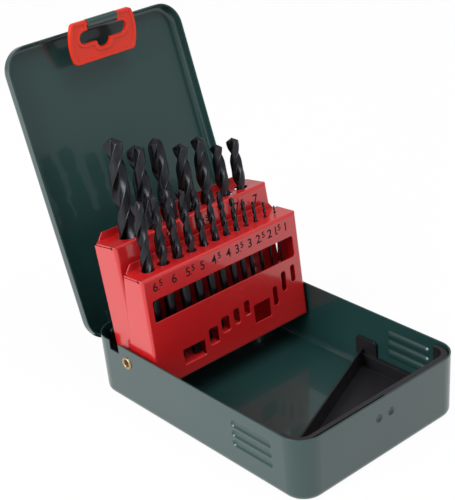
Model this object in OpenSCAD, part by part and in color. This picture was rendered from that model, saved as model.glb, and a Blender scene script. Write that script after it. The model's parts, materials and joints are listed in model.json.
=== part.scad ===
// Drill bit case: a drawn sheet-metal tray, a lid that slips over its rim, two folded racks that
// stand up one behind the other on a shared pair of eyelets, nineteen twist drills, a moulded
// wedge in the tray's front and a plastic hanger on the lid.
// Millimetres. The origin is the centre of the flat underside. X runs to the right along the lid's
// hinge line, the hinge side is +Y and up is +Z. Drawn with the lid open and both racks standing.

/* [Tray] */
// Outer width of the tray at its rim
tray_w = 115; // [114:0.5:120]
// Outer length of the tray at its rim, front to back
tray_d = 163.7; // [163:0.1:168]
// Height of the tray's rim above the table
tray_h = 36.2; // [36:0.1:36.8]
// Corner radius of the rim seen from above
corner_r = 12.8; // [10:0.2:14]
// How much each side leans in from rim to floor
side_lean = 0.9; // [0.6:0.1:1.2]
// Outer radius of the bend between floor and sides
floor_bend = 4; // [3.4:0.2:5]
// Thickness of the sheet metal
sheet = 0.8; // [0.7:0.05:0.85]

/* [Lid] */
// Clearance between the tray's rim and the inside of the lid's skirt
lid_gap = 0.3; // [0.25:0.05:0.5]
// Depth of the lid's skirt from its top face to its edge
skirt_d = 7.4; // [6.8:0.2:8]
// Height of the lid's top face above the tray's rim when shut
lid_rise = 4; // [4:0.1:4.6]
// Outer radius of the bend between the lid's top and its skirt
lid_bend = 3.6; // [3:0.2:4]
// Angle the lid has swung back in the drawing
open_angle = 107.2; // [100:0.2:108]
// Width of the tongue that carries the hanger
tongue_w = 19.5; // [16:0.5:20]

/* [Hinges] */
// Distance of each hinge's middle from the case's side
hinge_side = 21.5; // [19.5:1:29.5]
// Distance of the hinge line in front of the tray's rear rim
hinge_in = 2.8; // [2.8:0.05:3]
// Distance of the hinge line below the tray's rim
hinge_drop = 4.4; // [4.3:0.05:4.6]
// Outer radius of the rolled hinge barrels
barrel_r = 1.6; // [1.5:0.05:1.65]
// Diameter of the hinge pins
pin_d = 1.8; // [1.5:0.1:1.9]
// Width of the lid's hinge arm
arm_w = 12; // [10:0.5:13]
// Length of each of the tray's knuckles
knuckle_w = 4.6; // [3.5:0.2:5]

/* [Racks] */
// Distance of the racks' pivot line in front of the tray's rear rim
axle_in = 30.4; // [29.8:0.1:31]
// Height of the racks' pivot line above the table
axle_z = 27.3; // [27.2:0.05:27.4]
// Space between the tray's rim and a rack's outer side
rack_side = 2.9; // [2.8:0.1:3.2]
// Angle the front rack leans back when it stands
front_lean = 5; // [4:0.5:6]
// Angle the rear rack leans back when it stands
rear_lean = 9; // [8.5:0.5:10]
// Height of the front rack's top above the pivot line
front_top = 52.5; // [51:0.5:54]
// Height of the rear rack's top above the pivot line
rear_top = 66; // [64:0.5:68]
// Outside diameter of the eyelets' barrels
eyelet_d = 5; // [4.8:0.1:5.2]

/* [Drills] */
// Clearance round a drill in its hole
hole_play = 0.8; // [0.6:0.1:1]
// Depth of the flutes as a share of the drill's radius
flute_depth = 0.68; // [0.5:0.02:0.72]
// Angle of the flutes to the drill's axis
helix = 30; // [26:1:34]
// Angle across the drills' points
point_angle = 118; // [110:1:130]

/* [Hanger] */
// Width of the hanger across its widest part
hanger_w = 44; // [42:0.5:46]
// Height of the hanger
hanger_h = 23; // [22.4:0.2:23.4]
// Thickness of the hanger
hanger_t = 2.4; // [2:0.1:2.6]
// Diameter of the round bar that the tongue curls round
bar_d = 3; // [2.6:0.1:3.2]

/* [Part] */
// Which piece is drawn

/* [Hidden] */

$fn = 48;
far = 300;
bite = 1;
green = [0.16, 0.27, 0.25];
red = [0.75, 0.09, 0.1];
orange = [0.88, 0.26, 0.15];
brass = [0.72, 0.55, 0.3];
steel = [0.6, 0.6, 0.6];
black = [0.1, 0.1, 0.11];

// The gap left under a piece that rests on a stop, and between the plies of a fixed joint.
rest_gap = 0.3;
ply_gap = 0.05;

// Tray.
half_w = tray_w / 2;
hinge_x = half_w - hinge_side;
half_d = tray_d / 2;
function rim_x(z) = half_w - side_lean * (1 - z / tray_h);
function rim_y(z) = half_d - side_lean * (1 - z / tray_h);
groove_r = 2.5;
groove_in = 1;
groove_l = 29.3;
groove_mid = 46.6;
groove_zs = [15.6, 21.4, 27.2];
groove_chord = sqrt(groove_r * groove_r - (groove_r - groove_in) * (groove_r - groove_in));
dimple_r = 3;
dimple_in = 1.2;
dimple_x = 4.3;
dimple_z = 25.5;
press_deep = 10;
press_long = 40;
rim_notch_in = 20;
rim_notch_y = half_d - rim_notch_in;
rim_notch_w = 7.8;
rim_notch_h = 5.7;

// Lid, drawn shut and then swung back about the hinge line.
hinge_y = half_d - hinge_in;
hinge_z = tray_h - hinge_drop;
lid_top = tray_h + lid_rise;
lid_half_w = half_w + lid_gap + sheet;
lid_half_d = half_d + lid_gap + sheet;
lid_corner = corner_r + lid_gap + sheet;
skirt_z = lid_top - skirt_d;
rear_trim_z = tray_h + 0.15;
rear_trim_y = half_d - 4.8;
curl_play = 0.08;
curl_r = bar_d / 2 + curl_play + sheet;
curl_y = -lid_half_d + sheet - curl_r;
curl_z = tray_h - 12.4;
curl_open = 60;

// Hinges.
arm_y = -barrel_r;
arm_foot = 8;
arm_notch = 0.5;
arm_notch_z = hinge_z - barrel_r;
knuckle_gap = 0.3;
leaf_half = arm_w / 2 + knuckle_gap + knuckle_w;
leaf_z = hinge_z - 13;
leaf_y = rim_y(leaf_z) - sheet - ply_gap - sheet;
pin_play = 0.16;
pin_over = 0.4;

// Racks. A rack's own frame has its origin on the pivot line, Y to the back and Z along the rack.
axle_y = half_d - axle_in;
front_half = half_w - rack_side;
ear_gap = 0.2;
rear_half = front_half - sheet - ear_gap;
rack_bend = 1.6;
front_face = -22.8;
front_foot = -10.7;
front_back_top = -7.7;
front_back_low = -2;
front_taper_z = 8;
ear_r = 5.5;
front_floor_back = -9;
front_flange_back = -6.2;
rear_face = -6.8;
rear_back = 11.7;
rear_foot = -14.8;
lip_h = 4;
lip_in = 2.5;
lip_slope = 3;
flange_cut = 3;
slit_h = 0.5;
slit_front = 3;
relief_r = 0.9;
window_half = front_half - 4.6;
window_low = 27;
window_high = 39.5;
window_r = 1.5;
front_row = -13.7;
rear_row = 1.2;
ear_play = 0.16;
eyelet_head_d = 7.2;
eyelet_head = 0.7;
eyelet_bore = 4.2;
eyelet_tail_d = 7;
washer_d = 9;
washer_gap = 0.25;

// Drills: diameters, overall lengths and flute lengths, the rear rack's seven first.
drill_d = [10, 9.5, 9, 8.5, 8, 7.5, 7, 6.5, 6, 5.5, 5, 4.5, 4, 3.5, 3, 2.5, 2, 1.5, 1];
drill_l = [133, 125, 125, 117, 117, 109, 109, 101, 93, 93, 86, 80, 75, 70, 61, 57, 49, 40, 34];
flute_l = [87, 81, 81, 75, 75, 69, 69, 63, 57, 57, 52, 47, 43, 39, 33, 30, 24, 18, 12];
rear_count = 7;
// The drills spread evenly between each rack's end margins, left and right.
rear_margins = [10.2, 8.7];
front_margins = [8.15, 6.9];
fine_from = 8;
fine_add = 3.1;
function sum_of(v, from, to) = from > to ? 0 : v[from] + sum_of(v, from + 1, to);
last = len(drill_d) - 1;
rear_web = (2 * rear_half - rear_margins[0] - rear_margins[1] - sum_of(drill_d, 0, rear_count - 1))
    / (rear_count - 1);
front_web = (2 * front_half - front_margins[0] - front_margins[1] - drill_d[last] / 2
    - sum_of(drill_d, rear_count, rear_count + fine_from) + drill_d[rear_count + fine_from] / 2
    - (last - rear_count - fine_from) * fine_add) / (last - rear_count);
function rear_x(i) = i == 0 ? -rear_half + rear_margins[0] + drill_d[0] / 2
    : rear_x(i - 1) + (drill_d[i - 1] + drill_d[i]) / 2 + rear_web;
function front_x(k) = k == 0 ? -front_half + front_margins[0] + drill_d[rear_count] / 2
    : k > fine_from ? front_x(k - 1) + front_web + fine_add
    : front_x(k - 1) + (drill_d[rear_count + k - 1] + drill_d[rear_count + k]) / 2 + front_web;

// How each drill stands in its loose hole: degrees leant back, degrees leant to the right, and the
// direction its two lands face at the point, in degrees from X.
stance = [[0, 3, 133], [0, 1, 150], [0, 0, 55], [0, 3, 121], [0, 2, 121], [0, 0, 106], [0, 0, 136],
    [0, 0, 150], [2, 1, 100], [4, 0, 170], [4, 0, 130], [4.6, 0, 60], [4, 0, 20], [4.6, 0, 90],
    [3.6, 0, 0], [1.5, 0, 45], [2, 0, 120], [2, 0, 10], [2, 0, 70]];

// Stop tongues in the front rack's face: first and last drill they serve (0 is the 6.5), bottom and
// top of the opening they are bent from, width of that opening, and the edge they hang on
// (-1 the bottom edge, 1 the top edge).
stops = [[1, 2, -4.4, 5.2, 15.6, -1], [3, 3, -1, 9.4, 6.9, -1], [4, 4, 2.4, 12, 6.1, -1],
    [5, 5, 3.7, 13.5, 4.4, -1], [6, 6, 5.6, 15, 4.2, -1], [7, 8, -1, 10.5, 12.3, 1],
    [9, 9, 3.6, 15.5, 3.6, 1], [10, 10, 9.5, 21.7, 3.6, 1], [11, 11, 12.4, 23.2, 3.4, 1]];
low_tilt = 6;
high_tilt = -6;
stop_off = -0.2;
tongue_side = 0.25;
stop_r = 1.6;
wide_stop_r = 0.8;
function stop_x(s) = (front_x(s[0]) + front_x(s[1])) / 2 + stop_off;
function stop_z(s) = s[5] < 0 ? s[2] + sheet : s[3];
function stop_tilt(s) = s[5] < 0 ? low_tilt : high_tilt;
function stop_of(k) = [for (s = stops) if (k >= s[0] && k <= s[1]) s][0];
function on_tongue(s, r, back) = let (in = front_row - (front_top - stop_z(s)) * tan(back)
    - front_face - sheet, tilt = tan(stop_tilt(s)))
    stop_z(s) + in * tilt + r * abs(tilt + sin(back));
function on_floor(i) = (i < rear_count ? rear_foot : front_foot) + sheet;
function stop_under(i) = i <= rear_count ? on_floor(i)
    : on_tongue(stop_of(i - rear_count), drill_d[i] / 2, stance[i][0]);
function foot_z(i) = stop_under(i) + drill_d[i] / 2 * sin(stance[i][1]) + rest_gap;
function hole_z(i) = (i < rear_count ? rear_top : front_top) - sheet / 2;
function inserted(i) = (hole_z(i) - foot_z(i)) / (cos(stance[i][0]) * cos(stance[i][1]));

// Wedge insert.
wedge_t = 1;
wedge_lift = sheet + 0.3;
wedge_half = half_w - 3.6;
wedge_front = half_d - 4.8;
wedge_corner = 7;
wedge_front_z = tray_h - 1.4;
wedge_side_z = 9.6;
wedge_long_z = 12.5;
wedge_wrap_y = half_d - 15;
wedge_lip_gap = 0.35;
wedge_lip = 1.5;
long_reach = 65.5;
tab_reach = 61.3;
tab_w = 15;
long_left_y = half_d - 20.7;
long_right_y = long_reach - axle_y;
step_x = 2.5;
lip_keep = 0.6;
tab_back = tab_reach - axle_y;
tab_front = tab_back + tab_w;
tab_z = 19;
tab_r = 2.5;

// Hanger.
hanger_top = 2;
hanger_neck = 2.2;
hanger_corner = 2.2;
bow_r = (pow(hanger_h / 2, 2) + pow(hanger_neck, 2)) / (2 * hanger_neck);
slot_half = 15.8;
slot_top = -3.4;
slot_low = -10.8;
slot_notch = 9.3;
slot_notch_r = 4;
slot_notch_low = -14.8;
hanger_border = 1.7;
hanger_recess = 0.5;
curl_side = 0.45;

// ---------------------------------------------------------------- helpers

// Section through a pan's wall from its corner centre outwards, thickened inwards by t.
module wall_side(rim_r, h, lean, bend, inset, from, top) {
  run = sqrt(h * h + lean * lean);
  bend_x = rim_r - (bend * run + (h - bend) * lean) / h;
  r = bend - inset;
  top_x = rim_r - lean * (h - top) / h - inset * run / h;
  polygon([[from, inset], [bend_x, inset], [bend_x, bend],
      [bend_x + r * h / run, bend - r * lean / run], [top_x, top], [from, top]]);
  translate([bend_x, bend]) circle(r);
}

module wall_section(rim_r, h, lean, bend) {
  difference() {
    wall_side(rim_r, h, lean, bend, 0, 0, h);
    wall_side(rim_r, h, lean, bend, sheet, -bite, h + bite);
  }
}

// An open pan standing on its underside: four turned corners, four straight walls and a floor.
module pan(hw, hd, h, lean, rim_r, bend) {
  cx = hw - rim_r;
  cy = hd - rim_r;
  for (turn = [[1, 1, 0], [-1, 1, 90], [-1, -1, 180], [1, -1, 270]])
    translate([turn[0] * cx, turn[1] * cy, 0]) rotate([0, 0, turn[2]])
      rotate_extrude(angle = 90) wall_section(rim_r, h, lean, bend);
  for (turn = [0, 180])
    rotate([0, 0, turn]) translate([cx, cy, 0]) rotate([90, 0, 0])
      linear_extrude(2 * cy) wall_section(rim_r, h, lean, bend);
  for (turn = [90, 270])
    rotate([0, 0, turn]) translate([cy, cx, 0]) rotate([90, 0, 0])
      linear_extrude(2 * cx) wall_section(rim_r, h, lean, bend);
  translate([-cx, -cy, 0]) cube([2 * cx, 2 * cy, sheet]);
}

// A flat rectangle with round corners, given by its corner points.
module round_rect(x0, y0, x1, y1, r) {
  translate([x0 + r, y0]) square([x1 - x0 - 2 * r, y1 - y0]);
  translate([x0, y0 + r]) square([x1 - x0, y1 - y0 - 2 * r]);
  for (x = [x0 + r, x1 - r])
    for (y = [y0 + r, y1 - r])
      translate([x, y]) circle(r);
}

// A flat shape drawn in the Y-Z plane and pulled out along X, centred.
module along_x(length) {
  rotate([90, 0, 90]) translate([0, 0, -length / 2]) linear_extrude(length) children();
}

// A flat shape drawn in the X-Z plane and pulled out along +Y from the given depth.
module along_y(from, length) {
  translate([0, from + length, 0]) rotate([90, 0, 0]) linear_extrude(length) children();
}

module rod_x(d, length) {
  rotate([0, 90, 0]) translate([0, 0, -length / 2]) cylinder(d = d, h = length);
}

// ---------------------------------------------------------------- tray

// A pressed groove's tool: a round bar with ball ends beside the wall.
module groove_bar(side, z, r) {
  half = groove_l / 2 - groove_chord;
  translate([side * (rim_x(z) + groove_r - groove_in), -groove_mid, z]) {
    rotate([90, 0, 0]) translate([0, 0, -half]) cylinder(r = r, h = 2 * half);
    for (end = [-half, half])
      translate([0, end, 0]) sphere(r);
  }
}

module dimple_ball(side, r) {
  translate([side * dimple_x, -rim_y(dimple_z) - dimple_r + dimple_in, dimple_z]) sphere(r);
}

module tray_pressings() {
  for (side = [-1, 1])
    for (z = groove_zs)
      intersection() {
        groove_bar(side, z, groove_r + sheet);
        translate([side * (rim_x(z) - sheet / 2) - (side > 0 ? press_deep : 0),
            -groove_mid - press_long / 2, z - press_deep / 2])
          cube([press_deep, press_long, press_deep]);
      }
  for (side = [-1, 1])
    intersection() {
      dimple_ball(side, dimple_r + sheet);
      translate([side * dimple_x - press_deep / 2, -rim_y(dimple_z) + sheet / 2,
          dimple_z - press_deep / 2])
        cube(press_deep);
    }
}

module tray() {
  color(green) difference() {
    union() {
      pan(half_w, half_d, tray_h, side_lean, corner_r, floor_bend);
      tray_pressings();
    }
    for (side = [-1, 1])
      for (z = groove_zs)
        groove_bar(side, z, groove_r);
    for (side = [-1, 1])
      dimple_ball(side, dimple_r);
    translate([-far / 2, rim_notch_y - rim_notch_w / 2, tray_h - rim_notch_h])
      cube([far, rim_notch_w, far]);
    translate([0, axle_y, axle_z]) rod_x(eyelet_d + ear_play, far);
    for (side = [-1, 1])
      translate([side * hinge_x - arm_w / 2 - arm_notch, half_d - 3 * sheet - bite, arm_notch_z])
        cube([arm_w + 2 * arm_notch, far, far]);
  }
}

// ---------------------------------------------------------------- wedge insert

// The insert seen from above: square to the front and sides, cut off by the long slanting edge.
module wedge_plan(inset) {
  difference() {
    round_rect(-wedge_half + inset, -wedge_front + inset, wedge_half - inset, far,
        wedge_corner - inset);
    polygon([[-wedge_half - bite, -long_left_y - inset], [wedge_half + bite, -long_right_y - inset],
        [wedge_half + bite, far + bite], [-wedge_half - bite, far + bite]]);
  }
}

// The front lip reaches towards the tray's front wall and fades out round both corners.
module front_lip() {
  difference() {
    round_rect(-half_w + 2 * sheet, -half_d + sheet + wedge_lip_gap, half_w - 2 * sheet, far,
        corner_r - sheet);
    round_rect(-wedge_half + wedge_t, -wedge_front + wedge_t, wedge_half - wedge_t, far + bite,
        wedge_corner);
    translate([-far / 2, -wedge_wrap_y]) square([far, 2 * far]);
    translate([-far, -wedge_front - wedge_t - far]) square([far + step_x, far - lip_keep]);
  }
}

module wedge_insert() {
  color(black) translate([0, 0, wedge_lift]) {
    difference() {
      linear_extrude(wedge_front_z - wedge_lift) wedge_plan(0);
      translate([0, 0, wedge_t]) linear_extrude(far) wedge_plan(wedge_t);
      translate([-far / 2, -wedge_wrap_y, wedge_long_z - wedge_lift]) cube([far, far, far]);
      for (side = [-1, 1])
        translate([side > 0 ? wedge_half - wedge_t - bite / 2 : -wedge_half - bite,
            -wedge_wrap_y, wedge_side_z - wedge_lift])
          cube([wedge_t + 1.5 * bite, wedge_wrap_y - long_right_y - 2, far]);
    }
    translate([0, 0, wedge_front_z - wedge_lift - wedge_t]) linear_extrude(wedge_t) front_lip();
    translate([wedge_half - bite, -wedge_wrap_y, wedge_side_z - wedge_lift - wedge_t])
      cube([wedge_lip + bite, wedge_wrap_y - tab_back - tab_r, wedge_t]);
    translate([wedge_half + wedge_lip - wedge_t / 2, 0, 0]) along_x(wedge_t)
      round_rect(-tab_front, wedge_side_z - wedge_lift - wedge_t - 2, -tab_back,
          tab_z - wedge_lift, tab_r);
  }
}

// ---------------------------------------------------------------- pivots

// Hollow eyelet: a flat head outside the wall, a barrel through both racks' ears, a rolled tail.
module eyelet(side) {
  head = rim_x(axle_z + eyelet_head_d / 2) + ply_gap;
  tail = rear_half - sheet - ear_gap;
  color(brass) translate([0, axle_y, axle_z]) rotate([0, side * 90, 0]) difference() {
    union() {
      translate([0, 0, head]) cylinder(d = eyelet_head_d, h = eyelet_head);
      translate([0, 0, tail - eyelet_head]) cylinder(d = eyelet_tail_d, h = eyelet_head);
      translate([0, 0, tail - eyelet_head]) cylinder(d = eyelet_d, h = head - tail + eyelet_head);
    }
    translate([0, 0, tail - 2]) cylinder(d = eyelet_bore, h = head - tail + 4);
  }
}

module eyelet_left() {
  eyelet(-1);
}

module eyelet_right() {
  eyelet(1);
}

module washer(side) {
  outer = rim_x(axle_z) - sheet - washer_gap;
  inner = front_half + washer_gap;
  color(steel) translate([0, axle_y, axle_z]) rotate([0, side * 90, 0]) difference() {
    translate([0, 0, inner]) cylinder(d = washer_d, h = outer - inner);
    translate([0, 0, inner - bite]) cylinder(d = eyelet_d + ear_play, h = outer - inner + 2 * bite);
  }
}

module washer_left() {
  washer(-1);
}

module washer_right() {
  washer(1);
}

// ---------------------------------------------------------------- lid hinges

// The tray's leaf: a strip on the rear wall with a knuckle at either end.
module tray_leaf(side) {
  color(green) translate([side * hinge_x, 0, 0]) difference() {
    union() {
      translate([-leaf_half, leaf_y, leaf_z])
        cube([2 * leaf_half, sheet, hinge_z - barrel_r - rest_gap - leaf_z]);
      for (end = [-1, 1])
        translate([end * (leaf_half - knuckle_w / 2), 0, 0]) {
          translate([-knuckle_w / 2, leaf_y, leaf_z]) cube([knuckle_w, sheet, hinge_z - leaf_z]);
          translate([0, hinge_y, hinge_z]) rod_x(2 * barrel_r, knuckle_w);
        }
    }
    translate([0, hinge_y, hinge_z]) rod_x(pin_d + pin_play, 3 * leaf_half);
  }
}

module tray_hinge_left() {
  tray_leaf(-1);
}

module tray_hinge_right() {
  tray_leaf(1);
}

module pin(side) {
  color(steel) translate([side * hinge_x, hinge_y, hinge_z])
    rod_x(pin_d, 2 * (leaf_half + pin_over));
}

module hinge_pin_left() {
  pin(-1);
}

module hinge_pin_right() {
  pin(1);
}

// The lid's leaf: a barrel round the pin, an arm up to the lid's top and a foot under it.
module lid_leaf(side) {
  arm_top = lid_top - sheet - ply_gap - hinge_z;
  color(green) opened() translate([side * hinge_x, hinge_y, hinge_z]) difference() {
    union() {
      rod_x(2 * barrel_r, arm_w);
      translate([-arm_w / 2, arm_y, 0]) cube([arm_w, sheet, arm_top]);
      translate([-arm_w / 2, arm_y - arm_foot, arm_top - sheet]) cube([arm_w, arm_foot + sheet, sheet]);
    }
    rod_x(pin_d + pin_play, 2 * arm_w);
  }
}

module lid_hinge_left() {
  lid_leaf(-1);
}

module lid_hinge_right() {
  lid_leaf(1);
}

// ---------------------------------------------------------------- lid

module opened() {
  translate([0, hinge_y, hinge_z]) rotate([-open_angle, 0, 0]) translate([0, -hinge_y, -hinge_z])
    children();
}

// The tongue's end, curled outwards round the hanger's bar.
module curl() {
  translate([0, curl_y, curl_z]) along_x(tongue_w) difference() {
    circle(curl_r);
    circle(curl_r - sheet);
    polygon([[0, 0], [far, 0], [far, far * tan(curl_open)]]);
  }
}

module lid() {
  color(green) opened() {
    difference() {
      translate([0, 0, lid_top]) rotate([180, 0, 0])
        pan(lid_half_w, lid_half_d, skirt_d, 0, lid_corner, lid_bend);
      translate([-far / 2, rear_trim_y, rear_trim_z - far]) cube([far, far, far]);
    }
    translate([-tongue_w / 2, -lid_half_d, curl_z]) cube([tongue_w, sheet, skirt_z + bite - curl_z]);
    curl();
  }
}

// ---------------------------------------------------------------- hanger

// The hanger's outline seen from the front, z measured from the bar's middle: straight above and
// below, bowed out at the sides.
module hanger_outline(inset) {
  mid = hanger_top - hanger_h / 2;
  rise = hanger_h / 2 - inset;
  r = hanger_corner - inset;
  bow = bow_r - inset;
  away = bow_r - hanger_w / 2;
  cx = sqrt(pow(bow - r, 2) - pow(rise - r, 2)) - away;
  tangent = bow * (rise - r) / (bow - r);
  intersection() {
    translate([-away, mid]) circle(bow);
    translate([away, mid]) circle(bow);
    translate([-far, mid - tangent]) square([2 * far, 2 * tangent]);
  }
  translate([-cx, mid - rise]) square([2 * cx, 2 * rise]);
  for (x = [-cx, cx])
    for (z = [mid - rise + r, mid + rise - r])
      translate([x, z]) circle(r);
}

// The hanging slot with its hump for a round peg.
module hanger_slot(grow) {
  r = (slot_top - slot_low) / 2;
  round_rect(-slot_half - grow, slot_low - grow, slot_half + grow, slot_top + grow, r + grow - 0.01);
  round_rect(-slot_notch / 2 - grow, slot_notch_low - grow, slot_notch / 2 + grow,
      slot_top - bite, slot_notch_r);
}

module hanger() {
  gap_half = tongue_w / 2 + curl_side;
  at = [0, hanger_pivot()[0], hanger_pivot()[1]];
  color(orange) translate(at) {
    difference() {
      along_y(-hanger_t / 2, hanger_t) hanger_outline(0);
      along_y(-hanger_t, 2 * hanger_t) hanger_slot(0);
      along_y(-hanger_t, 2 * hanger_t)
        translate([-gap_half, slot_top - bite]) square([2 * gap_half, far]);
      for (from = [-hanger_t / 2 - bite, hanger_t / 2 - hanger_recess])
        along_y(from, hanger_recess + bite) difference() {
          hanger_outline(hanger_border);
          hanger_slot(hanger_border);
          translate([-gap_half - hanger_border, slot_top - bite])
            square([2 * (gap_half + hanger_border), far]);
        }
    }
    rod_x(bar_d, 2 * gap_half + bite);
  }
}

// Where the curl's middle comes to with the lid swung back.
function hanger_pivot() = let (y = curl_y - hinge_y, z = curl_z - hinge_z)
    [hinge_y + y * cos(open_angle) + z * sin(open_angle),
     hinge_z - y * sin(open_angle) + z * cos(open_angle)];

// ---------------------------------------------------------------- racks

module standing(lean) {
  translate([0, axle_y, axle_z]) rotate([-lean, 0, 0]) children();
}

// A channel seen from its end: a face in front and two sides, with rounded folds.
module channel_plan(hw, face, back, r) {
  round_rect(-hw, face, hw, back, r);
  translate([-hw, back - 2 * r]) square([2 * hw, 2 * r]);
}

// The side view of the front rack with its tapering back edge and the ear round the pivot.
module front_side(inset) {
  face = front_face + inset;
  low = front_foot + inset;
  high = front_top - inset;
  r = rack_bend - inset;
  round_rect(face, low, front_back_top, high, r);
  polygon([[face + r, low], [front_floor_back, low], [0, -ear_r], [0, 0], [front_back_low, front_taper_z],
      [front_back_top, high], [face + r, high]]);
  circle(ear_r);
}

module rear_side(inset) {
  round_rect(rear_face + inset, rear_foot + inset, rear_back + far, rear_top - inset,
      rack_bend - inset);
}

// The upturned lip along the back of a rack's top, its corners cut.
module top_lip(hw, back, top) {
  base = hw - lip_in;
  tip = base - lip_slope;
  along_y(back - sheet, sheet)
    polygon([[-base, top - sheet], [base, top - sheet], [base, top], [tip, top + lip_h],
        [-tip, top + lip_h], [-base, top]]);
}

// The slits that part the sides from the folded top, each ending in a round relief hole.
module top_slits(face, back, top) {
  z = top - sheet - slit_h / 2;
  for (side = [-1, 1]) {
    translate([-far / 2, face + slit_front, z - slit_h / 2]) cube([far, back - face, slit_h]);
    translate([0, face + slit_front, z]) rod_x(2 * relief_r, far);
  }
}

// One stop tongue, bent back into the rack from its opening's edge.
module tongue(s) {
  length = s[3] - s[2];
  wide = s[4] - 2 * tongue_side;
  translate([stop_x(s) - wide / 2, front_face + sheet, stop_z(s)]) rotate([stop_tilt(s), 0, 0])
    translate([0, -sheet / 2, -sheet]) cube([wide, length, sheet]);
}

module stop_opening(s) {
  r = s[0] == s[1] ? stop_r : wide_stop_r;
  along_y(front_face - bite, sheet + bite + 0.01)
    round_rect(stop_x(s) - s[4] / 2, s[2] + (s[5] < 0 ? sheet / 2 : 0), stop_x(s) + s[4] / 2,
        s[3] - (s[5] > 0 ? sheet / 2 : 0), r);
}

module front_rack() {
  hw = front_half;
  color(red) standing(front_lean) {
    difference() {
      union() {
        intersection() {
          translate([0, 0, front_foot]) linear_extrude(front_top - front_foot)
            channel_plan(hw, front_face, 2 * ear_r, rack_bend);
          along_x(far) front_side(0);
        }
        translate([0, 0, front_top - sheet]) linear_extrude(sheet)
          polygon([[-hw + rack_bend, front_back_top - bite], [hw - rack_bend, front_back_top - bite],
              [hw - flange_cut, front_flange_back], [-hw + flange_cut, front_flange_back]]);
      }
      intersection() {
        translate([0, 0, front_foot - bite]) linear_extrude(front_top - front_foot + 2 * bite)
          channel_plan(hw - sheet, front_face + sheet, far, rack_bend - sheet);
        along_x(far) {
          round_rect(front_face + sheet, front_foot + sheet, front_back_top, front_top - sheet,
              rack_bend - sheet);
          translate([front_back_top - 2 * bite, front_foot + sheet])
            square([far, front_top - front_foot - 2 * sheet]);
        }
      }
      top_slits(front_face, far, front_top);
      for (s = stops)
        stop_opening(s);
      along_y(front_face - bite, sheet + 2 * bite)
        round_rect(-window_half, window_low, window_half, window_high, window_r);
      for (i = [rear_count:len(drill_d) - 1])
        translate([front_x(i - rear_count), front_row, front_top - sheet - bite])
          cylinder(d = drill_d[i] + hole_play, h = sheet + 2 * bite);
      rod_x(eyelet_d + ear_play, far);
    }
    top_lip(hw, front_flange_back, front_top);
    for (s = stops)
      tongue(s);
  }
}

module rear_rack() {
  hw = rear_half;
  color(red) standing(rear_lean) {
    difference() {
      intersection() {
        translate([0, 0, rear_foot]) linear_extrude(rear_top - rear_foot)
          channel_plan(hw, rear_face, rear_back, rack_bend);
        along_x(far) rear_side(0);
      }
      intersection() {
        translate([0, 0, rear_foot - bite]) linear_extrude(rear_top - rear_foot + 2 * bite)
          channel_plan(hw - sheet, rear_face + sheet, far, rack_bend - sheet);
        along_x(far) rear_side(sheet);
      }
      top_slits(rear_face, far, rear_top);
      for (side = [-1, 1])
        translate([side * hw, rear_back, rear_top - sheet - bite / 2]) rotate([0, 0, 45])
          translate([-flange_cut / 2, -flange_cut / 2, 0]) cube([flange_cut, flange_cut, 2 * bite]);
      for (i = [0:rear_count - 1])
        translate([rear_x(i), rear_row, rear_top - sheet - bite])
          cylinder(d = drill_d[i] + hole_play, h = sheet + 2 * bite);
      rod_x(eyelet_d + ear_play, far);
    }
    top_lip(hw, rear_back, rear_top);
  }
}

// ---------------------------------------------------------------- drills

// A drill's cross-section: two lands and two flutes.
function flute_ring(r) = [for (a = [0:30:330])
    r * (1 - flute_depth * pow(abs(sin(a)), 3)) * [cos(a), sin(a)]];

// A twist drill standing on its shank.
module drill(i) {
  d = drill_d[i];
  shank = drill_l[i] - flute_l[i];
  point = d / 2 / tan(point_angle / 2);
  run = flute_l[i] - point;
  lead = PI * d / tan(helix);
  turn = 360 * run / lead;
  point_turn = 360 * point / lead;
  sunk = d / 20;
  sunk_turn = 360 * sunk / lead;
  cylinder(d = d, h = shank);
  rotate([0, 0, stance[i][2] - turn - point_turn]) {
    translate([0, 0, shank - sunk]) rotate([0, 0, -sunk_turn])
      linear_extrude(run + sunk, twist = -turn - sunk_turn, slices = ceil(turn / 36), $fn = 12)
        polygon(flute_ring(d / 2 * 0.997));
    translate([0, 0, shank + run - sunk]) rotate([0, 0, turn])
      linear_extrude(point + sunk, twist = -point_turn, slices = 1, scale = 0.04, $fn = 12)
        polygon(flute_ring(d / 2 * 0.99));
  }
}

// The drill in its place: through its rack's hole, leaning as far as it does, a little above its stop.
module placed(i) {
  rear = i < rear_count;
  color(black) standing(rear ? rear_lean : front_lean)
    translate([rear ? rear_x(i) : front_x(i - rear_count), rear ? rear_row : front_row, hole_z(i)])
      rotate([-stance[i][0], stance[i][1], 0]) translate([0, 0, -inserted(i)]) drill(i);
}

module drill_10_0() {
  placed(0);
}

module drill_9_5() {
  placed(1);
}

module drill_9_0() {
  placed(2);
}

module drill_8_5() {
  placed(3);
}

module drill_8_0() {
  placed(4);
}

module drill_7_5() {
  placed(5);
}

module drill_7_0() {
  placed(6);
}

module drill_6_5() {
  placed(7);
}

module drill_6_0() {
  placed(8);
}

module drill_5_5() {
  placed(9);
}

module drill_5_0() {
  placed(10);
}

module drill_4_5() {
  placed(11);
}

module drill_4_0() {
  placed(12);
}

module drill_3_5() {
  placed(13);
}

module drill_3_0() {
  placed(14);
}

module drill_2_5() {
  placed(15);
}

module drill_2_0() {
  placed(16);
}

module drill_1_5() {
  placed(17);
}

module drill_1_0() {
  placed(18);
}

// ---------------------------------------------------------------- pieces

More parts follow.
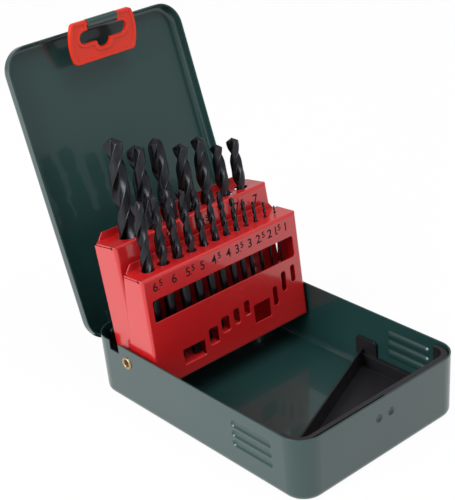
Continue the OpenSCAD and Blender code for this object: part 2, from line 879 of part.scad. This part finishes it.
tray();
wedge_insert();
eyelet_left();
eyelet_right();
washer_left();
washer_right();
tray_hinge_left();
tray_hinge_right();
hinge_pin_left();
hinge_pin_right();
lid();
lid_hinge_left();
lid_hinge_right();
hanger();
front_rack();
rear_rack();
drill_10_0();
drill_9_5();
drill_9_0();
drill_8_5();
drill_8_0();
drill_7_5();
drill_7_0();
drill_6_5();
drill_6_0();
drill_5_5();
drill_5_0();
drill_4_5();
drill_4_0();
drill_3_5();
drill_3_0();
drill_2_5();
drill_2_0();
drill_1_5();
drill_1_0();
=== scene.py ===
import bpy
import bmesh
import json
import math
from mathutils import Matrix, Vector


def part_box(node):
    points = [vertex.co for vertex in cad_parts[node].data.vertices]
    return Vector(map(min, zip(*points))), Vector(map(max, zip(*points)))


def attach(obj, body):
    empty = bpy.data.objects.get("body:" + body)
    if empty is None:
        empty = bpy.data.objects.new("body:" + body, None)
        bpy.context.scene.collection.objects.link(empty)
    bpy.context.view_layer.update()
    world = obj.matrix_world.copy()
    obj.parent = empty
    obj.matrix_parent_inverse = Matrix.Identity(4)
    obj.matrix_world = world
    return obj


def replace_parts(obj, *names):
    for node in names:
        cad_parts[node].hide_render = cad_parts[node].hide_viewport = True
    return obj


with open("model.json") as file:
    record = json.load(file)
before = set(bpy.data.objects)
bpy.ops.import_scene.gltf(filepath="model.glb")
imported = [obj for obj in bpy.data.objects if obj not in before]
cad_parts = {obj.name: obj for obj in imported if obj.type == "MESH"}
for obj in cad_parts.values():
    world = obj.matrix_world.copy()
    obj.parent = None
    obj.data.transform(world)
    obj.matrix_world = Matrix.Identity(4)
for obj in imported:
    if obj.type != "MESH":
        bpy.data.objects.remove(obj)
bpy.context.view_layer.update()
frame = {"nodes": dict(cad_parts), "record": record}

# ---------------------------------------------------------------- sizes, in metres
MM = 0.001
SHEET = 0.8 * MM

# Both racks turn on this line; each leans back by its own angle.
AXLE_Y = 51.45 * MM
AXLE_Z = 27.3 * MM
FRONT_LEAN = math.radians(5)
REAR_LEAN = math.radians(9)

# In a rack's own place: its face, the top of its folded top and its row of holes.
FRONT_FACE = -22.8 * MM
REAR_FACE = -6.8 * MM
FRONT_TOP = 52.5 * MM
REAR_TOP = 66 * MM
FRONT_ROW = -13.7 * MM
REAR_ROW = 1.2 * MM
FRONT_HOLES = FRONT_TOP - SHEET / 2
REAR_HOLES = REAR_TOP - SHEET / 2

# Each drill: diameter, overall length, flute length, place across the rack and length below its
# hole in mm; then degrees leant back, degrees leant to the right and the way its lands face at
# the point.
REAR_DRILLS = [
    (10, 133, 87, -38.4, 79.15, 0, 3, 133), (9.5, 125, 81, -23.85, 79.23, 0, 1, 150),
    (9, 125, 81, -9.8, 79.3, 0, 0, 55), (8.5, 117, 75, 3.75, 79.19, 0, 3, 121),
    (8, 117, 75, 16.8, 79.21, 0, 2, 121), (7.5, 109, 69, 29.35, 79.3, 0, 0, 106),
    (7, 109, 69, 41.4, 79.3, 0, 0, 136)]
FRONT_DRILLS = [
    (6.5, 101, 63, -43.2, 61.7, 0, 0, 150), (6, 93, 57, -32.85, 54.3, 2, 1, 100),
    (5.5, 93, 57, -23.0, 54.59, 4, 0, 170), (5, 86, 52, -13.65, 51.2, 4, 0, 130),
    (4.5, 80, 47, -4.8, 47.88, 4.6, 0, 60), (4, 75, 43, 3.55, 46.54, 4, 0, 20),
    (3.5, 70, 39, 11.4, 44.74, 4.6, 0, 90), (3, 61, 33, 18.75, 41.91, 3.6, 0, 0),
    (2.5, 57, 30, 25.6, 41.97, 1.5, 0, 45), (2, 49, 24, 32.8, 36.99, 2, 0, 120),
    (1.5, 40, 18, 40.0, 30.83, 2, 0, 10), (1, 34, 12, 47.2, 29.35, 2, 0, 70)]


def smooth_by_angle(mesh, degrees):
    """Shades a mesh smooth, with hard edges where its faces meet at more than the angle."""
    mesh.shade_smooth()
    mesh.set_sharp_from_angle(angle=math.radians(degrees))


def put(name, mesh, body, finish):
    """Adds a finished mesh to the scene, riding on a body."""
    mesh.materials.clear()
    mesh.materials.append(finish)
    obj = bpy.data.objects.new(name, mesh)
    bpy.context.collection.objects.link(obj)
    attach(obj, body)
    return obj


def rack_place(lean, x, depth, up):
    """The matrix from a rack's own place to the frame."""
    turn = Matrix.Rotation(-lean, 4, "X")
    own = Matrix.Translation((x, depth, up))
    return Matrix.Translation((0, AXLE_Y, AXLE_Z)) @ turn @ own


# ---------------------------------------------------------------- node trees
class Graph:
    """A node tree that is put together step by step."""

    def __init__(self, tree):
        self.tree = tree

    def node(self, kind, **settings):
        made = self.tree.nodes.new(kind)
        for key, value in settings.items():
            setattr(made, key, value)
        return made

    def feed(self, value, socket):
        """Gives a socket a number or colour of its own, or another node's result."""
        if isinstance(value, (int, float, tuple)):
            socket.default_value = value
        else:
            self.tree.links.new(value, socket)

    def sum(self, operation, *values):
        made = self.node("ShaderNodeMath", operation=operation)
        for value, socket in zip(values, made.inputs):
            self.feed(value, socket)
        return made.outputs[0]

    def spread(self, value, low, high, to_low, to_high, kind="LINEAR"):
        """Maps one range of values to another and stays inside it."""
        made = self.node("ShaderNodeMapRange", interpolation_type=kind)
        for given, socket in zip((value, low, high, to_low, to_high), made.inputs):
            self.feed(given, socket)
        return made.outputs[0]


# ---------------------------------------------------------------- finishes
class Finish(Graph):
    """A node material round one Principled shader."""

    def __init__(self, name, **settings):
        self.material = bpy.data.materials.new(name)
        self.material.use_nodes = True
        super().__init__(self.material.node_tree)
        self.shader = self.tree.nodes["Principled BSDF"]
        self.place = self.node("ShaderNodeTexCoord").outputs["Object"]
        for key, value in settings.items():
            self.shader.inputs[key.replace("_", " ")].default_value = value

    def give(self, **results):
        """Feeds results of other nodes to the shader's sockets."""
        for key, result in results.items():
            self.feed(result, self.shader.inputs[key.replace("_", " ")])

    def noise(self, scale, detail, stretch=(1, 1, 1)):
        """Noise with the given number of waves in a metre."""
        stretched = self.node("ShaderNodeMapping")
        self.feed(stretch, stretched.inputs["Scale"])
        self.feed(self.place, stretched.inputs["Vector"])
        made = self.node("ShaderNodeTexNoise")
        self.feed(scale, made.inputs["Scale"])
        self.feed(detail, made.inputs["Detail"])
        self.feed(stretched.outputs[0], made.inputs["Vector"])
        return made.outputs["Fac"]

    def blend(self, share, first, second):
        made = self.node("ShaderNodeMix", data_type="RGBA")
        self.feed(share, made.inputs["Factor"])
        self.feed((*first, 1), made.inputs["A"])
        self.feed((*second, 1), made.inputs["B"])
        return made.outputs["Result"]

    def bump(self, height, strength, distance, edge=0.0):
        """Fine relief, with the edges softened to the given radius under it."""
        made = self.node("ShaderNodeBump")
        self.feed(strength, made.inputs["Strength"])
        self.feed(distance, made.inputs["Distance"])
        self.feed(height, made.inputs["Height"])
        if edge:
            soft = self.node("ShaderNodeBevel", samples=8)
            self.feed(edge, soft.inputs["Radius"])
            self.feed(soft.outputs[0], made.inputs["Normal"])
            self.give(Coat_Normal=soft.outputs[0])
        self.give(Normal=made.outputs[0])


def gloss_paint(name, light, dark, roughness, coat):
    """Stove enamel on sheet steel: a faint orange peel and slow colour drift."""
    paint = Finish(name, Roughness=roughness, Coat_Weight=coat, Coat_Roughness=0.06)
    drift = paint.spread(paint.noise(scale=16, detail=1.0), 0.1, 0.9, 0, 1)
    haze = paint.spread(paint.noise(scale=22, detail=1.0), 0.1, 0.9,
                        roughness - 0.04, roughness + 0.05)
    paint.give(Base_Color=paint.blend(drift, light, dark), Roughness=haze)
    paint.bump(paint.noise(scale=900, detail=1.0), strength=0.05, distance=0.02 * MM,
               edge=0.4 * MM)
    return paint.material


def moulded(name, light, dark, roughness, grain, shine, edge=0.0):
    """Moulded plastic with a fine spark-eroded grain."""
    plastic = Finish(name, Specular_IOR_Level=shine)
    drift = plastic.spread(plastic.noise(scale=60, detail=3.0), 0.3, 0.7, 0, 1)
    haze = plastic.spread(plastic.noise(scale=150, detail=3.0), 0.3, 0.7,
                          roughness - 0.05, roughness + 0.06)
    plastic.give(Base_Color=plastic.blend(drift, light, dark), Roughness=haze)
    plastic.bump(plastic.noise(scale=2600, detail=2.0), grain, distance=0.04 * MM, edge=edge)
    return plastic.material


def metal(name, light, dark, roughness, scratch, uneven=0.08, metallic=1.0):
    """Bare or oxidised metal with fine drawn lines and a slightly uneven tone."""
    lines = (1, 1, 12)
    made = Finish(name, Metallic=metallic)
    tone = made.spread(made.noise(scale=240, detail=4.0), 0.3, 0.7, 0, 1)
    haze = made.spread(made.noise(420, 3.0, lines), 0.3, 0.7,
                       roughness - uneven, roughness + uneven)
    made.give(Base_Color=made.blend(tone, light, dark), Roughness=haze)
    made.bump(made.noise(900, 2.0, lines), scratch, distance=0.03 * MM)
    return made.material


GREEN = gloss_paint("green_enamel", light=(0.012, 0.047, 0.045), dark=(0.011, 0.042, 0.040),
                    roughness=0.30, coat=0.56)
RED = gloss_paint("red_enamel", light=(0.54, 0.012, 0.014), dark=(0.50, 0.010, 0.012),
                  roughness=0.28, coat=0.80)
ORANGE = moulded("orange_plastic", light=(0.72, 0.032, 0.010), dark=(0.67, 0.028, 0.009),
                 roughness=0.36, grain=0.1, shine=0.35, edge=0.5 * MM)
BLACK = moulded("black_plastic", light=(0.014, 0.013, 0.015), dark=(0.011, 0.010, 0.012),
                roughness=0.38, grain=0.08, shine=0.35, edge=0.5 * MM)
INK = moulded("black_ink", light=(0.015, 0.010, 0.011), dark=(0.010, 0.007, 0.008),
              roughness=0.5, grain=0.05, shine=0.15)
BRASS = metal("plated_brass", light=(0.46, 0.33, 0.18), dark=(0.39, 0.28, 0.14),
              roughness=0.34, scratch=0.05, metallic=0.7)
STEEL = metal("bright_steel", light=(0.55, 0.55, 0.56), dark=(0.42, 0.42, 0.43),
              roughness=0.32, scratch=0.1)
OXIDE = metal("black_oxide", light=(0.046, 0.047, 0.053), dark=(0.036, 0.037, 0.042),
              roughness=0.37, scratch=0.03, uneven=0.03)

FINISHES = {"green_paint": GREEN, "red_paint": RED, "hanger_plastic": ORANGE, "brass": BRASS,
            "bright_steel": STEEL, "insert_plastic": BLACK, "black_oxide": OXIDE}
for part in frame["record"]["subparts"]:
    shell = frame["nodes"][part["node"]]
    shell.data.materials.clear()
    shell.data.materials.append(FINISHES[part["material_slot"]])


# ---------------------------------------------------------------- twist drills
class Recipe(Graph):
    """A Geometry Nodes tree with named sizes, built from plain sums on fields."""

    def __init__(self, name, sizes, counts):
        super().__init__(bpy.data.node_groups.new(name, "GeometryNodeTree"))
        sockets = self.tree.interface
        sockets.new_socket("Geometry", in_out="OUTPUT", socket_type="NodeSocketGeometry")
        for label in sizes:
            sockets.new_socket(label, in_out="INPUT", socket_type="NodeSocketFloat")
        for label in counts:
            sockets.new_socket(label, in_out="INPUT", socket_type="NodeSocketInt")
        self.given = self.node("NodeGroupInput").outputs

    def finish(self, geometry, material):
        real = self.node("GeometryNodeRealizeInstances")
        self.feed(geometry, real.inputs[0])
        coat = self.node("GeometryNodeSetMaterial")
        coat.inputs["Material"].default_value = material
        self.feed(real.outputs[0], coat.inputs["Geometry"])
        self.feed(coat.outputs[0], self.node("NodeGroupOutput").inputs[0])
        return self.tree


# Half the drill's section, from the middle of one land to the next: share of the half turn, share
# of the radius. A land has its margin and cutting edge on the far side, its heel on the near side.
SECTION = [(0.0, 0.955), (0.145, 0.955), (0.160, 1.0), (0.212, 1.0), (0.236, 0.82), (0.285, 0.54),
           (0.36, 0.37), (0.46, 0.33), (0.57, 0.42), (0.68, 0.64), (0.765, 0.925), (0.785, 0.955),
           (1.0, 0.955)]
SMOOTH_SPOTS = range(5, 10)

# The rings along a drill: how many, and the shares at which the chamfer, shank and flutes end.
RINGS = 150
CHAMFER_RINGS = 0.01
SHANK_RINGS = 0.08
FLUTE_RINGS = 0.9

# In radii: the shank's chamfer, half the chisel edge, and the heights above the shank between
# which the flutes fade in.
CHAMFER = 0.1
CHISEL = 0.05
RUN_OUT = (0.8, 5.0)
POINT_HALF = math.radians(59)
HELIX = math.radians(30)

# A ground drill stays this much inside its solid.
GROUND_RADIUS = 0.998
GROUND_LENGTH = 0.999


def drill_recipe():
    """A cylinder whose rings are spread along the drill, turned by the helix and pulled in to the
    flutes."""
    r = Recipe("twist_drill", ["Radius", "Length", "Flute", "Lead", "Point"], ["Around"])
    radius, length, flute, lead, point, around = r.given[:6]
    stock = r.node("GeometryNodeMeshCylinder", fill_type="TRIANGLE_FAN")
    for key, value in (("Vertices", around), ("Side Segments", RINGS), ("Fill Segments", 1),
                       ("Radius", 1.0), ("Depth", 1.0)):
        r.feed(value, stock.inputs[key])
    spot = r.node("ShaderNodeSeparateXYZ")
    r.feed(r.node("GeometryNodeInputPosition").outputs[0], spot.inputs[0])
    x, y, share = spot.outputs[0], spot.outputs[1], r.sum("ADD", spot.outputs[2], 0.5)

    # Height: a ring for the chamfer, a few along the shank, most along the flutes, the rest at
    # the point.
    chamfer = r.sum("MULTIPLY", radius, CHAMFER)
    shank = r.sum("SUBTRACT", length, flute)
    fluted = r.sum("SUBTRACT", flute, point)
    z = r.sum("ADD", r.spread(share, 0, CHAMFER_RINGS, 0, chamfer),
              r.spread(share, CHAMFER_RINGS, SHANK_RINGS, 0, r.sum("SUBTRACT", shank, chamfer)))
    z = r.sum("ADD", z, r.spread(share, SHANK_RINGS, FLUTE_RINGS, 0, fluted))
    z = r.sum("ADD", z, r.spread(share, FLUTE_RINGS, 1.0, 0, point))

    # Section: the half turn's share runs round twice, and the flutes fade out into the shank.
    angle = r.sum("ARCTAN2", y, x)
    half_turn = r.sum("FRACT", r.sum("ADD", r.sum("DIVIDE", angle, math.pi), 1.0))
    profile = r.node("ShaderNodeFloatCurve")
    curve = profile.mapping.curves[0]
    curve.points[0].location = SECTION[0]
    curve.points[-1].location = SECTION[-1]
    for at, value in SECTION[1:-1]:
        curve.points.new(at, value)
    for index, bend in enumerate(curve.points):
        bend.handle_type = "AUTO_CLAMPED" if index in SMOOTH_SPOTS else "VECTOR"
    profile.mapping.update()
    r.feed(half_turn, profile.inputs["Value"])
    fade_from, fade_to = (r.sum("MULTIPLY", radius, height) for height in RUN_OUT)
    run_out = r.spread(r.sum("SUBTRACT", z, shank), fade_from, fade_to, 0, 1, "SMOOTHSTEP")
    bite = r.sum("MULTIPLY", run_out, r.sum("SUBTRACT", profile.outputs[0], 1.0))
    wide = r.sum("MULTIPLY", radius, r.sum("ADD", bite, 1.0))

    # The point's cone with its short chisel edge, and the shank's chamfer.
    to_tip = r.sum("SUBTRACT", length, z)
    cone = r.sum("ADD", r.sum("MULTIPLY", to_tip, math.tan(POINT_HALF)),
                 r.sum("MULTIPLY", radius, CHISEL))
    foot = r.sum("ADD", r.sum("MULTIPLY", radius, 1 - CHAMFER), z)
    wide = r.sum("MINIMUM", wide, r.sum("MINIMUM", cone, foot))
    away = r.sum("SQRT", r.sum("ADD", r.sum("MULTIPLY", x, x), r.sum("MULTIPLY", y, y)))
    wide = r.sum("MULTIPLY", wide, r.spread(away, 0, 1, 0, 1))

    above = r.sum("MAXIMUM", r.sum("SUBTRACT", z, shank), 0.0)
    climbed = r.sum("DIVIDE", above, lead)
    turned = r.sum("ADD", angle, r.sum("MULTIPLY", climbed, 2 * math.pi))
    joined = r.node("ShaderNodeCombineXYZ")
    r.feed(r.sum("MULTIPLY", wide, r.sum("COSINE", turned)), joined.inputs[0])
    r.feed(r.sum("MULTIPLY", wide, r.sum("SINE", turned)), joined.inputs[1])
    r.feed(z, joined.inputs[2])
    moved = r.node("GeometryNodeSetPosition")
    r.feed(stock.outputs["Mesh"], moved.inputs["Geometry"])
    r.feed(joined.outputs[0], moved.inputs["Position"])
    return r.finish(moved.outputs[0], OXIDE)


def evaluated_mesh(obj):
    """An object's finished mesh, free of its modifiers or curves."""
    return bpy.data.meshes.new_from_object(
        obj.evaluated_get(bpy.context.evaluated_depsgraph_get()))


def grown(name, tree, sizes):
    """Runs a tree with the given sizes and keeps its result as a plain mesh."""
    holder = bpy.data.objects.new(name + "_maker", bpy.data.meshes.new(name + "_maker"))
    bpy.context.collection.objects.link(holder)
    maker = holder.modifiers.new("maker", "NODES")
    maker.node_group = tree
    sockets = {item.name: item.identifier for item in tree.interface.items_tree
               if item.in_out == "INPUT"}
    for key, value in sizes.items():
        maker[sockets[key]] = value
    mesh = evaluated_mesh(holder)
    holder.modifiers.remove(maker)
    bpy.data.objects.remove(holder)
    mesh.name = name
    return mesh


def sides_around(diameter):
    """Enough sides to look round at the drill's size."""
    if diameter >= 7:
        return 112
    return 80 if diameter >= 3 else 48


DRILL_TREE = drill_recipe()


def make_drill(drill, lean, row, holes):
    """Grinds one drill and stands it in its hole the way it leans."""
    diameter, length, flute, across, below, back, aside, lands = drill
    name = f"drill_{diameter:.1f}".replace(".", "_")
    radius = diameter / 2 * MM
    lead = math.pi * diameter / math.tan(HELIX)
    mesh = grown(name + "_ground", DRILL_TREE, {
        "Radius": radius * GROUND_RADIUS, "Length": length * MM * GROUND_LENGTH,
        "Flute": flute * MM, "Lead": lead * MM, "Point": radius / math.tan(POINT_HALF),
        "Around": sides_around(diameter)})
    turn = math.radians(lands) - 2 * math.pi * flute / lead
    mesh.transform(rack_place(lean, across * MM, row, holes)
                   @ Matrix.Rotation(math.radians(aside), 4, "Y")
                   @ Matrix.Rotation(math.radians(-back), 4, "X")
                   @ Matrix.Translation((0, 0, -below * MM)) @ Matrix.Rotation(turn, 4, "Z"))
    smooth_by_angle(mesh, 34)
    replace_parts(put(name + "_ground", mesh, name, OXIDE), name)


for drill in REAR_DRILLS:
    make_drill(drill, REAR_LEAN, REAR_ROW, REAR_HOLES)
for drill in FRONT_DRILLS:
    make_drill(drill, FRONT_LEAN, FRONT_ROW, FRONT_HOLES)


# ---------------------------------------------------------------- eyelets
# The eyelet's radii in mm: bore, barrel, and at either end the lip's edge with its thickness.
EYELET_BORE = 2.1
EYELET_BARREL = 2.5
EYELET_HEAD = (3.6, 0.7)
EYELET_TAIL = (3.5, 0.7)
EYELET_TURNS = 56
LIP_STEPS = 8


def rolled_lip(edge, thick):
    """Points from the bore's mouth over the rolled lip to its edge."""
    middle = (EYELET_BORE + edge) / 2
    points = []
    for step in range(LIP_STEPS + 1):
        angle = math.radians(180 - 180 * step / LIP_STEPS)
        points.append((middle + (edge - EYELET_BORE) / 2 * math.cos(angle),
                       thick * math.sin(angle)))
    return points


def make_eyelet(side):
    """A turned eyelet with rounded, rolled ends, in the place of its plain body."""
    node = "eyelet_left" if side < 0 else "eyelet_right"
    low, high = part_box(node)
    head_end, tail_end = (low.x, high.x) if side < 0 else (high.x, low.x)
    head_base = abs(head_end) / MM - EYELET_HEAD[1]
    tail_base = abs(tail_end) / MM + EYELET_TAIL[1]

    # The section beside the axis: radius, and distance from the case's middle.
    ring = [(radius, head_base + rise) for radius, rise in rolled_lip(*EYELET_HEAD)]
    ring += [(EYELET_BARREL, head_base), (EYELET_BARREL, tail_base)]
    ring += [(radius, tail_base - rise) for radius, rise in reversed(rolled_lip(*EYELET_TAIL))]

    build = bmesh.new()
    rows = []
    for turn in range(EYELET_TURNS):
        angle = 2 * math.pi * turn / EYELET_TURNS
        rows.append([build.verts.new((side * along * MM, AXLE_Y + radius * math.cos(angle) * MM,
                                      AXLE_Z + radius * math.sin(angle) * MM))
                     for radius, along in ring])
    for turn in range(EYELET_TURNS):
        here, there = rows[turn], rows[(turn + 1) % EYELET_TURNS]
        for at in range(len(ring)):
            after = (at + 1) % len(ring)
            build.faces.new((here[at], here[after], there[after], there[at]))
    bmesh.ops.recalc_face_normals(build, faces=build.faces)
    mesh = bpy.data.meshes.new(node + "_rolled")
    build.to_mesh(mesh)
    build.free()
    smooth_by_angle(mesh, 50)
    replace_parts(put(node + "_rolled", mesh, "base", BRASS), node)


make_eyelet(-1)
make_eyelet(1)


# ---------------------------------------------------------------- printed sizes
INK_DEPTH = 0.02 * MM
DIGIT_HEIGHT = 4.9 * MM
DIGIT_GAP = 0.2 * MM
DIGIT_BOLD = 0.1 * MM
# A capital's height as a share of the font's size.
CAPITAL = 0.7
# The small figure's size and how far it is raised, as shares of a whole figure's height.
SMALL_DIGIT = 0.70
SMALL_RISE = 0.37


def glyphs(text, height):
    """A flat line of characters of the given height, as a thin closed mesh standing in the X-Z
    plane. A small figure's strokes are thickened as much as a whole one's."""
    font = bpy.data.curves.new("numeral", "FONT")
    font.body = text
    font.size = height / CAPITAL
    font.extrude = INK_DEPTH
    font.offset = DIGIT_BOLD
    font.resolution_u = 5
    holder = bpy.data.objects.new("numeral", font)
    bpy.context.collection.objects.link(holder)
    mesh = evaluated_mesh(holder)
    bpy.data.objects.remove(holder)
    mesh.transform(Matrix.Rotation(math.radians(90), 4, "X"))
    return mesh


def label(size):
    """One drill's size: a whole figure and, for half sizes, a point and a small raised figure."""
    whole, _, rest = f"{size:g}".partition(".")
    parts = [(glyphs(whole, DIGIT_HEIGHT), 0.0)]
    if rest:
        parts.append((glyphs(".", DIGIT_HEIGHT * SMALL_DIGIT), 0.0))
        parts.append((glyphs(rest, DIGIT_HEIGHT * SMALL_DIGIT), DIGIT_HEIGHT * SMALL_RISE))
    build = bmesh.new()
    at = 0.0
    for mesh, rise in parts:
        across = [v.co.x for v in mesh.vertices]
        mesh.transform(Matrix.Translation((at - min(across), 0, rise)))
        at += max(across) - min(across) + DIGIT_GAP
        build.from_mesh(mesh)
        bpy.data.meshes.remove(mesh)
    bmesh.ops.translate(build, verts=build.verts, vec=(-at / 2, 0, -DIGIT_HEIGHT / 2))
    return build


def print_sizes(name, figures, lean, face, up, body):
    """Prints a row of sizes on a rack's face."""
    build = bmesh.new()
    for size, across in figures.items():
        piece = label(size)
        place = rack_place(lean, across * MM, face, up)
        bmesh.ops.transform(piece, matrix=place, verts=piece.verts)
        printed = bpy.data.meshes.new("printed")
        piece.to_mesh(printed)
        piece.free()
        build.from_mesh(printed)
        bpy.data.meshes.remove(printed)
    mesh = bpy.data.meshes.new(name)
    build.to_mesh(mesh)
    build.free()
    put(name, mesh, body, INK)


# Where each figure stands across its rack, in mm, and how high up the rack the row runs.
FRONT_FIGURES = {6.5: -44.9, 6: -33.9, 5.5: -22.9, 5: -14.6, 4.5: -4.9, 4: 3.8, 3.5: 11.7, 3: 19.3,
                 2.5: 27.2, 2: 34.0, 1.5: 40.3, 1: 46.0}
REAR_FIGURES = {10: -35.6, 9.5: -21.1, 9: -7.1, 8.5: 6.4, 8: 19.5, 7.5: 32.0, 7: 44.1}
FRONT_FIGURES_UP = 46.6 * MM
REAR_FIGURES_UP = 59.5 * MM
print_sizes("front_sizes", FRONT_FIGURES, FRONT_LEAN, FRONT_FACE, FRONT_FIGURES_UP, "front_rack")
print_sizes("rear_sizes", REAR_FIGURES, REAR_LEAN, REAR_FACE, REAR_FIGURES_UP, "rear_rack")


# ---------------------------------------------------------------- camera
# The photograph's camera: its place, the way it looks and its upright, with the lens and the
# sensor's width in mm.
CAMERA_PLACE = (-0.39432, -0.45128, 0.38944)
CAMERA_RIGHT = (0.745853, -0.661724, -0.076323)
CAMERA_UP = (0.347720, 0.289053, 0.891930)
CAMERA_AHEAD = (0.568150, 0.691787, -0.445686)
LENS = 94.38
SENSOR = 36

camera_data = bpy.data.cameras.new("camera")
camera_data.lens = LENS
camera_data.sensor_width = SENSOR
camera = bpy.data.objects.new("camera", camera_data)
bpy.context.collection.objects.link(camera)
stand = Matrix([CAMERA_RIGHT, CAMERA_UP, -Vector(CAMERA_AHEAD)]).transposed().to_4x4()
stand.translation = CAMERA_PLACE
camera.matrix_world = stand
bpy.context.scene.camera = camera


# ---------------------------------------------------------------- floor and light
FLOOR_HALF = 4.0
FLOOR_SHADE = (0.8, 0.8, 0.8, 1)
# How much of the floor is plain white to the camera, and to whatever mirrors it.
FLOOR_SEEN = 0.96
FLOOR_MIRRORED = 0.75
# The world's strength on the object.
SKY_LEVEL = 0.47


def emptied(owner):
    """The node tree of a new material or world, with nothing in it yet."""
    owner.use_nodes = True
    owner.node_tree.nodes.clear()
    return Graph(owner.node_tree)


def backdrop_material(name):
    """A pale matt surface that the camera sees as nearly white and mirrors see a little greyer."""
    made = bpy.data.materials.new(name)
    paper = emptied(made)
    path = paper.node("ShaderNodeLightPath").outputs
    seen = paper.sum("MULTIPLY", path["Is Camera Ray"], FLOOR_SEEN)
    share = paper.sum("MULTIPLY_ADD", path["Is Glossy Ray"], FLOOR_MIRRORED, seen)
    matt = paper.node("ShaderNodeBsdfDiffuse")
    paper.feed(FLOOR_SHADE, matt.inputs["Color"])
    white = paper.node("ShaderNodeEmission")
    paper.feed(1.0, white.inputs["Strength"])
    mix = paper.node("ShaderNodeMixShader")
    for value, socket in zip((share, matt.outputs[0], white.outputs[0]), mix.inputs):
        paper.feed(value, socket)
    paper.feed(mix.outputs[0], paper.node("ShaderNodeOutputMaterial").inputs[0])
    return made


def soft_light(name, place, target, width, power):
    """A square area lamp that looks at the target."""
    data = bpy.data.lights.new(name, "AREA")
    data.shape = "SQUARE"
    data.size = width
    data.energy = power
    lamp = bpy.data.objects.new(name, data)
    bpy.context.collection.objects.link(lamp)
    lamp.location = place
    lamp.rotation_mode = "QUATERNION"
    lamp.rotation_quaternion = (Vector(target) - Vector(place)).to_track_quat("-Z", "Y")


floor_mesh = bpy.data.meshes.new("floor")
floor_mesh.from_pydata([(-FLOOR_HALF, -FLOOR_HALF, 0), (FLOOR_HALF, -FLOOR_HALF, 0),
                        (FLOOR_HALF, FLOOR_HALF, 0), (-FLOOR_HALF, FLOOR_HALF, 0)],
                       [], [(0, 1, 2, 3)])
floor_mesh.materials.append(backdrop_material("pale_floor"))
floor = bpy.data.objects.new("floor", floor_mesh)
bpy.context.collection.objects.link(floor)

soft_light("key", place=(-1.5, 0.0, 0.9), target=(0, 0, 0.08), width=1.1, power=28)
soft_light("top", place=(0.2, -0.5, 1.6), target=(0, 0.05, 0.05), width=1.0, power=12)

world = bpy.data.worlds.new("studio")
bpy.context.scene.world = world
sky = emptied(world)
ray = sky.node("ShaderNodeLightPath").outputs
direct = sky.sum("MAXIMUM", ray["Is Camera Ray"], ray["Is Transmission Ray"])
glow = sky.node("ShaderNodeBackground")
sky.feed((1, 1, 1, 1), glow.inputs["Color"])
sky.feed(sky.spread(direct, 0, 1, SKY_LEVEL, 1.0), glow.inputs["Strength"])
sky.feed(glow.outputs[0], sky.node("ShaderNodeOutputWorld").inputs[0])

bpy.context.scene.view_settings.view_transform = "Standard"
